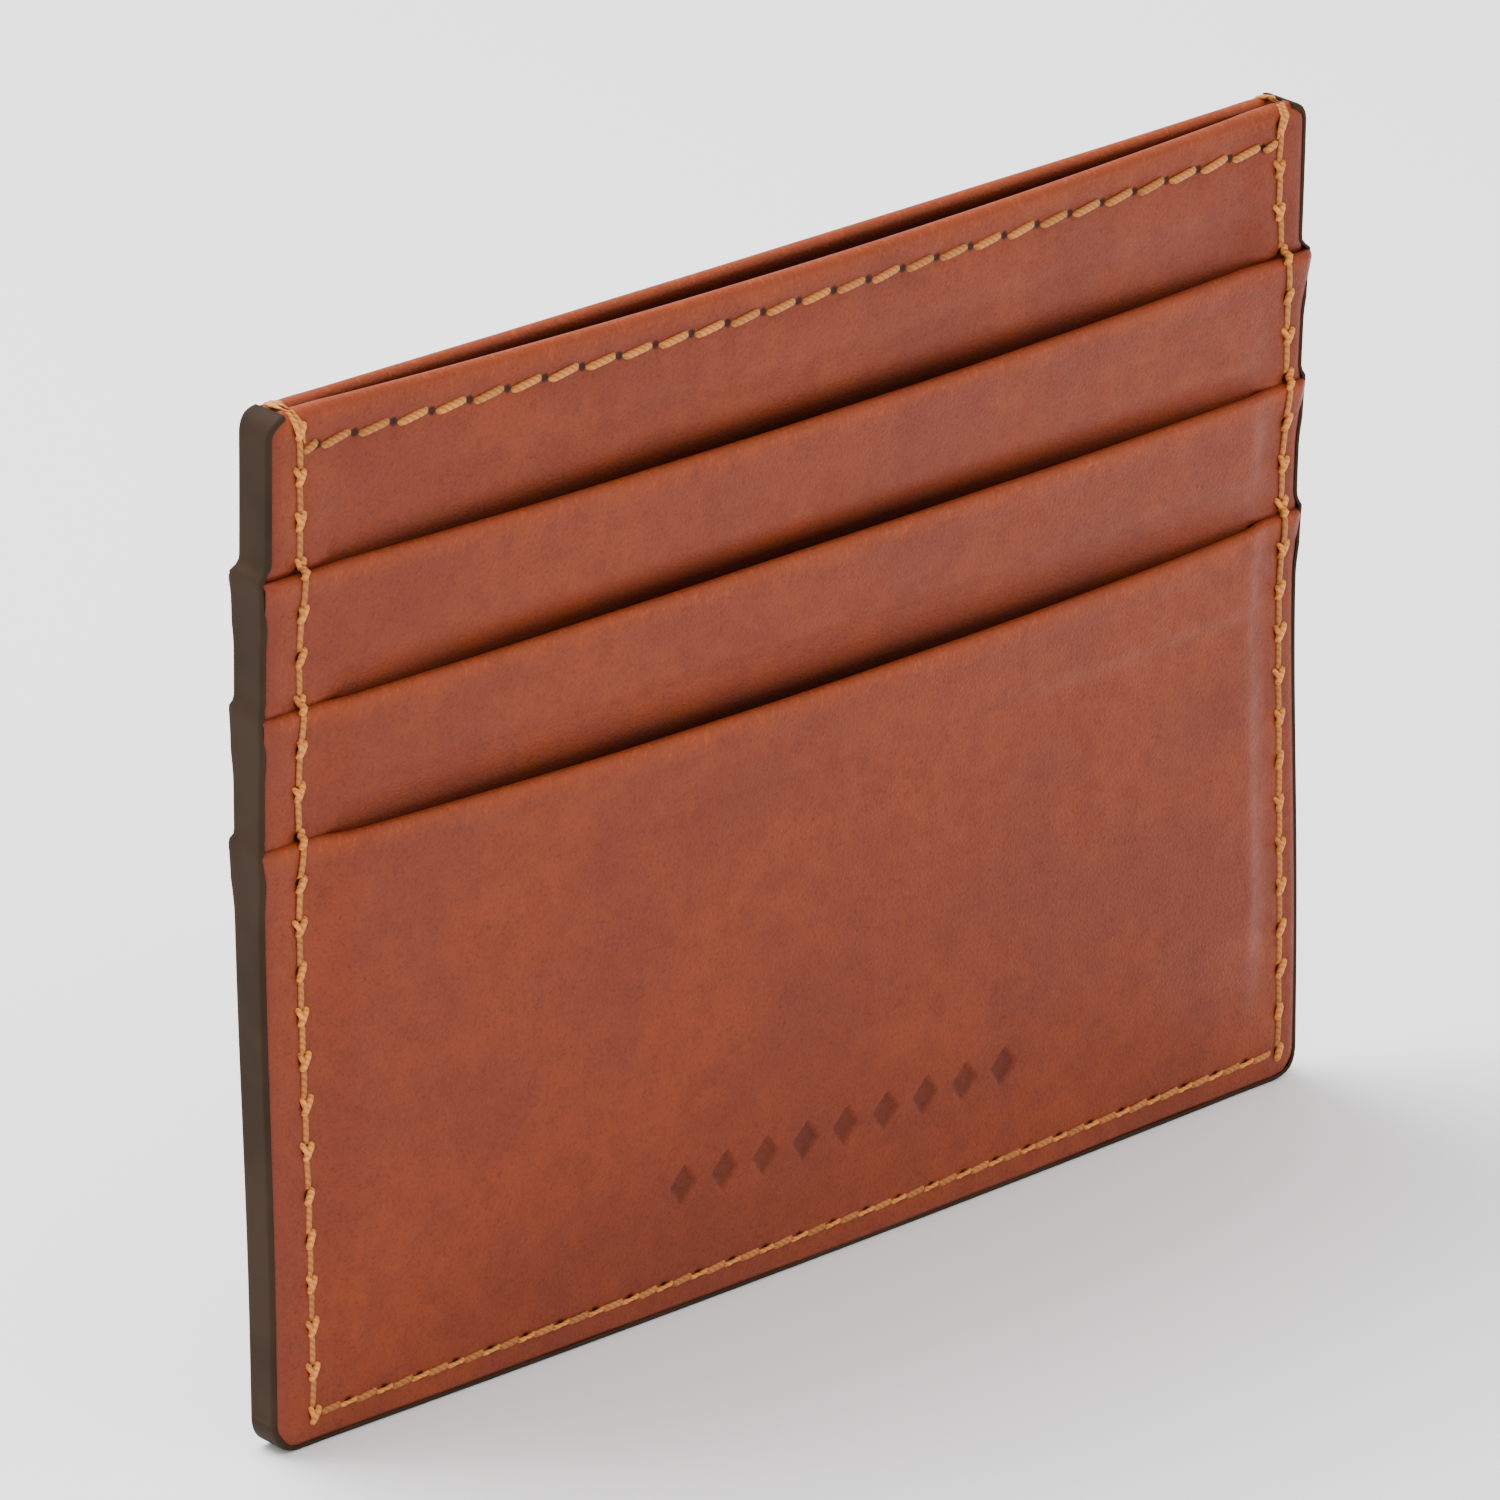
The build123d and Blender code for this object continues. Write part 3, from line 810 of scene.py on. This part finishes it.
def leather_material():
    """Vegetable-tanned cowhide, glazed smooth: clouds of colour, fine pores and a soft sheen."""
    made, tree = material("vegetable tanned leather")
    c = colours()
    place = add(tree, "ShaderNodeTexCoord", output="Object")
    clouds = add(tree, "ShaderNodeTexNoise", {
        "Vector": place, "Scale": per(15), "Detail": 4.0, "Roughness": 0.6})
    flecks = add(tree, "ShaderNodeTexNoise", {
        "Vector": place, "Scale": per(2.4), "Detail": 6.0, "Roughness": 0.7})
    grain = add(tree, "ShaderNodeTexVoronoi", {
        "Vector": place, "Scale": per(0.42), "Randomness": 1.0}, "Distance",
        feature="DISTANCE_TO_EDGE")
    pores = add(tree, "ShaderNodeTexNoise", {
        "Vector": place, "Scale": per(0.3), "Detail": 3.0, "Roughness": 0.7})
    stretched = add(tree, "ShaderNodeMapping", {
        "Vector": place, "Scale": (per(0.35), per(0.8), per(0.8)), "Rotation": (0, 0.35, 0)})
    fibres = add(tree, "ShaderNodeTexNoise", {
        "Vector": stretched, "Scale": 1.0, "Detail": 2.0, "Roughness": 0.6})
    from_fold, from_edge, tucked, pressed = (
        add(tree, "ShaderNodeAttribute", output="Fac", attribute_name=name)
        for name in ("from_fold", "from_edge", "tucked", "pressed"))
    to_hole_way = add(tree, "ShaderNodeAttribute", output="Vector", attribute_name="to_hole")
    gap = add(tree, "ShaderNodeVectorMath", {0: to_hole_way}, "Value", operation="LENGTH")
    fold = add(tree, "ShaderNodeMath", {0: from_fold}, operation="ABSOLUTE")
    ragged = add(tree, "ShaderNodeMath", {0: flecks, 1: 2.2, 2: -1.1}, operation="MULTIPLY_ADD")
    rough_fold = add(tree, "ShaderNodeMath", {0: fold, 1: ragged}, operation="ADD")
    from_crease = add(tree, "ShaderNodeMath", {0: fold, 1: 2.4}, operation="SUBTRACT")
    near_crease = add(tree, "ShaderNodeMath", {0: from_crease}, operation="ABSOLUTE")
    ranges = {  # value, its low and high ends, and what they become
        "clouded": (clouds, 0.38, 0.62, 0.0, 1.0),
        "flecked": (flecks, 0.35, 0.7, 0.0, 0.6),
        "dark pores": (pores, 0.5, 0.75, 0.0, 0.35),
        "pale pores": (pores, 0.5, 0.28, 0.0, 0.3),
        "worn": (rough_fold, 0.5, 2.3, 0.5, 0.0),
        "fibrous": (fibres, 0.52, 0.72, 0.0, 1.0),
        "at fold": (fold, 0.6, 2.6, 0.45, 0.0),
        # inside: painted shade on the turned hems behind each fold, in the gap of the pocket mouths
        "inside": (from_fold, -1.5, -0.3, 0.85, 0.0),
        "creased": (near_crease, 0.0, 0.3, 0.25, 0.0),
        # at hole: painted shade, the open needle holes drawn as dark spots
        "at hole": (gap, 0.2, 0.5, 0.95, 0.0),
        "at edge": (from_edge, 0.2, 1.6, 0.6, 0.0),
        "roughness": (flecks, 0.3, 0.7, 0.4, 0.54),
        "grained": (grain, 0.0, 0.25, 0.0, 1.0),
    }
    share = {
        key: add(tree, "ShaderNodeMapRange", dict(enumerate(row)), interpolation_type="SMOOTHSTEP")
        for key, row in ranges.items()}
    # The first of these lightens short streaks along the folds, the second is painted shade in the
    # crevice just above each mouth, and the third darkens the stamped lozenges.
    fold_streaks, tuck_shade, dark_press = (
        add(tree, "ShaderNodeMath", {0: a, 1: b}, operation="MULTIPLY")
        for a, b in ((share["fibrous"], share["at fold"]), (tucked, 0.85), (pressed, 0.4)))
    # Of these layers, the inside of the hems, the needle holes and the strip above each mouth get
    # painted shade; the others are the leather's own tones.
    layers = (
        (share["clouded"], c.leather_warm), (0.45, c.leather), (share["flecked"], c.leather_dull),
        (share["dark pores"], c.burnish_and_shade), (share["pale pores"], c.turned), (share["worn"], c.turned),
        (fold_streaks, [v * 1.5 for v in c.turned]), (share["inside"], c.burnish_and_shade),
        (share["creased"], c.leather_dull), (share["at hole"], c.burnish_and_shade),
        (share["at edge"], c.leather_dull), (tuck_shade, c.burnish_and_shade), (dark_press, c.burnish_and_shade),
    )
    body = c.leather_dull
    for amount, colour in layers:
        body = add(tree, "ShaderNodeMix", {0: amount, 6: body, 7: colour}, 2, data_type="RGBA")
    height = add(tree, "ShaderNodeMath", {0: share["grained"], 1: 0.5, 2: pores},
                 operation="MULTIPLY_ADD")
    height = add(tree, "ShaderNodeMath", {0: fold_streaks, 1: 1.5, 2: height}, operation="MULTIPLY_ADD")
    bump = add(tree, "ShaderNodeBump", {"Height": height, "Strength": 0.6, "Distance": 0.05 * MM})
    shader = add(tree, "ShaderNodeBsdfPrincipled", {
        "Base Color": body, "Roughness": share["roughness"], "Specular IOR Level": 0.16,
        "Normal": bump})
    add(tree, "ShaderNodeOutputMaterial", {"Surface": shader})
    return made


def thread_material():
    """Waxed polyester thread: twisted plies with painted shade in the grooves between them, and a
    painted highlight where they are pulled up.
    """
    made, tree = material("waxed polyester thread")
    c = colours()
    place = add(tree, "ShaderNodeTexCoord", output="Object")
    tone = add(tree, "ShaderNodeAttribute", output="Fac", attribute_name="tone")
    plies = add(tree, "ShaderNodeTexWave", {
        "Vector": place, "Scale": per(0.9), "Distortion": 1.5, "Detail": 1.0}, "Fac",
        bands_direction="DIAGONAL")
    fibre = add(tree, "ShaderNodeTexNoise", {"Vector": place, "Scale": per(0.25), "Detail": 2.0})
    body = add(tree, "ShaderNodeMix", {0: tone, 6: c.thread_shaded, 7: c.thread}, 2, data_type="RGBA")
    # A darker thread colour: the grooves between the plies get it as painted shade, and the fibre
    # noise uses it for random darker fibres.
    shade = add(tree, "ShaderNodeMix", {0: 0.6, 6: body, 7: c.burnish_and_shade}, 2, data_type="RGBA")
    for row in ((plies, 0.1, 0.6, 0.55, 0.0), (fibre, 0.5, 0.75, 0.0, 0.25)):
        amount = add(tree, "ShaderNodeMapRange", dict(enumerate(row)),
                     interpolation_type="SMOOTHSTEP")
        body = add(tree, "ShaderNodeMix", {0: amount, 6: body, 7: shade}, 2, data_type="RGBA")
    bump = add(tree, "ShaderNodeBump", {"Height": plies, "Strength": 0.6, "Distance": 0.05 * MM})
    shader = add(tree, "ShaderNodeBsdfPrincipled", {
        "Base Color": body, "Roughness": 0.5, "Specular IOR Level": 0.25, "Normal": bump})
    add(tree, "ShaderNodeOutputMaterial", {"Surface": shader})
    return made


def paint_material():
    """Matt acrylic edge paint, sanded between coats: even, dark and slightly lumpy."""
    made, tree = material("acrylic edge paint")
    c = colours()
    place = add(tree, "ShaderNodeTexCoord", output="Object")
    lumps = add(tree, "ShaderNodeTexNoise", {"Vector": place, "Scale": per(1.4), "Detail": 4.0})
    streaks = add(tree, "ShaderNodeTexNoise", {"Vector": place, "Scale": per(6), "Detail": 2.0})
    dark = [v * 0.75 for v in c.paint]
    pale = [v * 1.25 for v in c.paint]
    streaked = add(tree, "ShaderNodeMapRange", {0: streaks, 1: 0.35, 2: 0.65},
                   interpolation_type="SMOOTHSTEP")
    body = add(tree, "ShaderNodeMix", {0: streaked, 6: dark, 7: pale}, 2, data_type="RGBA")
    body = add(tree, "ShaderNodeMix", {0: 0.5, 6: body, 7: c.paint}, 2, data_type="RGBA")
    bump = add(tree, "ShaderNodeBump", {"Height": lumps, "Strength": 0.3, "Distance": 0.08 * MM})
    shader = add(tree, "ShaderNodeBsdfPrincipled", {
        "Base Color": body, "Roughness": 0.7, "Specular IOR Level": 0.08, "Normal": bump})
    add(tree, "ShaderNodeOutputMaterial", {"Surface": shader})
    return made


def cloth_material():
    """Plain-woven viscose lining cloth.

    Its threads are drawn about 0.8 mm apart, coarser than they are, so that the weave shows.
    """
    made, tree = material("woven lining cloth")
    c = colours()
    place = add(tree, "ShaderNodeTexCoord", output="Object")
    warp, weft = (
        add(tree, "ShaderNodeTexWave", {"Vector": place, "Scale": per(2.5)}, "Fac",
            bands_direction=way)
        for way in "XZ")
    weave = add(tree, "ShaderNodeMath", {0: warp, 1: weft}, operation="MULTIPLY")
    dark = [v * 0.5 for v in c.lining]
    body = add(tree, "ShaderNodeMix", {0: weave, 6: dark, 7: c.lining}, 2, data_type="RGBA")
    bump = add(tree, "ShaderNodeBump", {"Height": weave, "Strength": 0.5, "Distance": 0.05 * MM})
    shader = add(tree, "ShaderNodeBsdfPrincipled", {
        "Base Color": body, "Roughness": 0.8, "Normal": bump, "Sheen Weight": 0.3})
    add(tree, "ShaderNodeOutputMaterial", {"Surface": shader})
    return made


MAKERS = {
    "vegetable tanned leather": leather_material,
    "waxed polyester thread": thread_material,
    "acrylic edge paint": paint_material,
    "woven lining cloth": cloth_material,
}


def finish(name):
    """The material of this name, made on its first use."""
    return bpy.data.materials.get(name) or MAKERS[name]()


# Operators


class HOLDER_OT_panels(bpy.types.Operator):
    """Add the two leather panels with their turned top edges"""
    bl_idname = "holder.panels"
    bl_label = "Panels"

    def execute(self, context):
        for word, side in SIDES.items():
            name = f"{word}_panel"
            piece = to_object(panel_sheet(side), f"{name}_leather",
                              finish("vegetable tanned leather"), sizes().leather / MM)
            settle(piece, name)
        return {"FINISHED"}


class HOLDER_OT_pockets(bpy.types.Operator):
    """Add the leather of the card pockets on both faces"""
    bl_idname = "holder.pockets"
    bl_label = "Card pockets"

    def execute(self, context):
        for word, side in SIDES.items():
            for n in POCKETS:
                name = f"{word}_pocket_{n + 1}"
                piece = to_object(pocket_sheet(n, side), f"{name}_leather",
                                  finish("vegetable tanned leather"), sizes().leather / MM)
                settle(piece, name)
        return {"FINISHED"}


class HOLDER_OT_cloth(bpy.types.Operator):
    """Add the centre pocket's linings and the cloth tails of the card pockets"""
    bl_idname = "holder.cloth"
    bl_label = "Linings and tails"

    def execute(self, context):
        for word, side in SIDES.items():
            top = TOP - LINING_DROP
            bm = flat_sheet(side, CUT, FILM, top, lining_level, True)
            self.lay(bm, f"{word}_panel_lining", (2 * CUT, top - FILM), f"{word}_panel")
            for n in (0, 1):
                bm = flat_sheet(side, STEM, TAIL_ENDS[n], TAIL_TOPS[n],
                                lambda x, z: tail_level(n, x, z), False)
                self.lay(bm, f"{word}_pocket_{n + 1}_tail", (2 * STEM, TAIL_TOPS[n] - TAIL_ENDS[n]),
                         f"{word}_panel")
        return {"FINISHED"}

    def lay(self, bm, node, cut, under):
        piece = to_object(bm, f"{node}_cloth", finish("woven lining cloth"), CLOTH)
        settle(piece, node)


class HOLDER_OT_edge_paint(bpy.types.Operator):
    """Add the paint on the left, right and bottom cut edges"""
    bl_idname = "holder.edge_paint"
    bl_label = "Edge paint"

    def execute(self, context):
        for part in ("left", "right", "bottom"):
            name = f"edge_paint_{part}"
            piece = to_object(paint_mesh(part), f"{name}_film", finish("acrylic edge paint"),
                              PAINT_SKIN)
            settle(piece, name)
        return {"FINISHED"}


class HOLDER_OT_threads(bpy.types.Operator):
    """Add the stitches of every seam and row"""
    bl_idname = "holder.threads"
    bl_label = "Threads"

    def execute(self, context):
        for word, side in SIDES.items():
            self.sew(perimeter_stitches(side), f"{word}_perimeter_thread", "thread")
            self.sew(top_stitches(side), f"{word}_top_thread", "thread")
            for n in (0, 1):
                self.sew(hidden_stitches(n, side), f"{word}_pocket_{n + 1}_thread", "hidden_thread")
        self.sew(corner_strands(-1), "corner_tack_left", "thread")
        self.sew(corner_strands(1), "corner_tack_right", "thread")
        return {"FINISHED"}

    def sew(self, bm, node, slot):
        bmesh.ops.recalc_face_normals(bm, faces=bm.faces)
        settle(to_object(bm, f"{node}_stitches", finish("waxed polyester thread")), node)


def soft_box(name, place, aim, size, watts):
    lamp = bpy.data.lights.new(name, "AREA")
    lamp.shape = "RECTANGLE"
    lamp.size, lamp.size_y = size
    lamp.energy = watts
    box = bpy.data.objects.new(name, lamp)
    box.location = place
    box.rotation_euler = (Vector(aim) - Vector(place)).to_track_quat("-Z", "Y").to_euler()
    bpy.context.scene.collection.objects.link(box)


class HOLDER_OT_stage(bpy.types.Operator):
    """Add the pale floor, the soft lights and the camera"""
    bl_idname = "holder.stage"
    bl_label = "Stage"

    def execute(self, context):
        self.floor()
        self.lights()
        self.camera()
        return {"FINISHED"}

    def floor(self):
        made, tree = material("pale table")
        shader = add(tree, "ShaderNodeBsdfPrincipled", {
            "Base Color": colours().floor, "Roughness": 0.6, "Specular IOR Level": 0.2,
        })
        add(tree, "ShaderNodeOutputMaterial", {"Surface": shader})
        bm = bmesh.new()
        bmesh.ops.create_grid(bm, x_segments=1, y_segments=1, size=6)
        to_object(bm, "floor", made)

    def lights(self):
        world = bpy.data.worlds.new("soft white room")
        world.use_nodes = True
        background = world.node_tree.nodes["Background"]
        background.inputs["Color"].default_value = (1, 1, 1, 1)
        background.inputs["Strength"].default_value = 1.3
        bpy.context.scene.world = world
        soft_box("back", (-0.12, 0.3, 0.55), (0, 0.03, 0), (0.5, 0.4), 7)
        soft_box("front", (0.35, -0.7, 0.55), (0, 0, 0.04), (0.6, 0.5), 2)

    def camera(self):
        yaw, tilt, roll = (math.radians(a) for a in (-42.03, 22.52, 0.146))
        level = math.cos(tilt)
        back = Vector((math.sin(yaw) * level, -math.cos(yaw) * level, math.sin(tilt)))
        right = (-back).cross(Vector((0, 0, 1))).normalized()
        up = right.cross(-back)
        across = right * math.cos(roll) + up * math.sin(roll)
        upward = up * math.cos(roll) - right * math.sin(roll)
        lens = bpy.data.cameras.new("camera")
        lens.lens = 294.6
        lens.clip_start, lens.clip_end = 0.05, 30
        eye = bpy.data.objects.new("camera", lens)
        aim = Vector((-5.7, -1.6, 42.66)) * MM
        turn = Matrix((across, upward, back)).transposed().to_4x4()
        eye.matrix_world = Matrix.Translation(aim + back * 0.891) @ turn
        bpy.context.scene.collection.objects.link(eye)
        bpy.context.scene.camera = eye


STEPS = (HOLDER_OT_stage, HOLDER_OT_panels, HOLDER_OT_pockets, HOLDER_OT_cloth,
         HOLDER_OT_edge_paint, HOLDER_OT_threads)


class HOLDER_PT_panel(bpy.types.Panel):
    """Sizes, colours and steps of the card holder"""
    bl_idname = "HOLDER_PT_panel"
    bl_label = "Card Holder"
    bl_space_type = "VIEW_3D"
    bl_region_type = "UI"
    bl_category = "Card Holder"

    def draw(self, context):
        for group in (context.scene.holder_sizes, context.scene.holder_colours):
            for key in group.__annotations__:
                self.layout.prop(group, key)
        for step in STEPS:
            self.layout.operator(step.bl_idname)


CLASSES = (HolderSizes, HolderColours, *STEPS, HOLDER_PT_panel)


def register():
    for cls in CLASSES:
        bpy.utils.register_class(cls)
    bpy.types.Scene.holder_sizes = bpy.props.PointerProperty(type=HolderSizes)
    bpy.types.Scene.holder_colours = bpy.props.PointerProperty(type=HolderColours)


def unregister():
    del bpy.types.Scene.holder_colours
    del bpy.types.Scene.holder_sizes
    for cls in reversed(CLASSES):
        bpy.utils.unregister_class(cls)


def main():
    register()
    for step in STEPS:
        group, name = step.bl_idname.split(".")
        getattr(getattr(bpy.ops, group), name)()


if __name__ == "__main__":
    main()
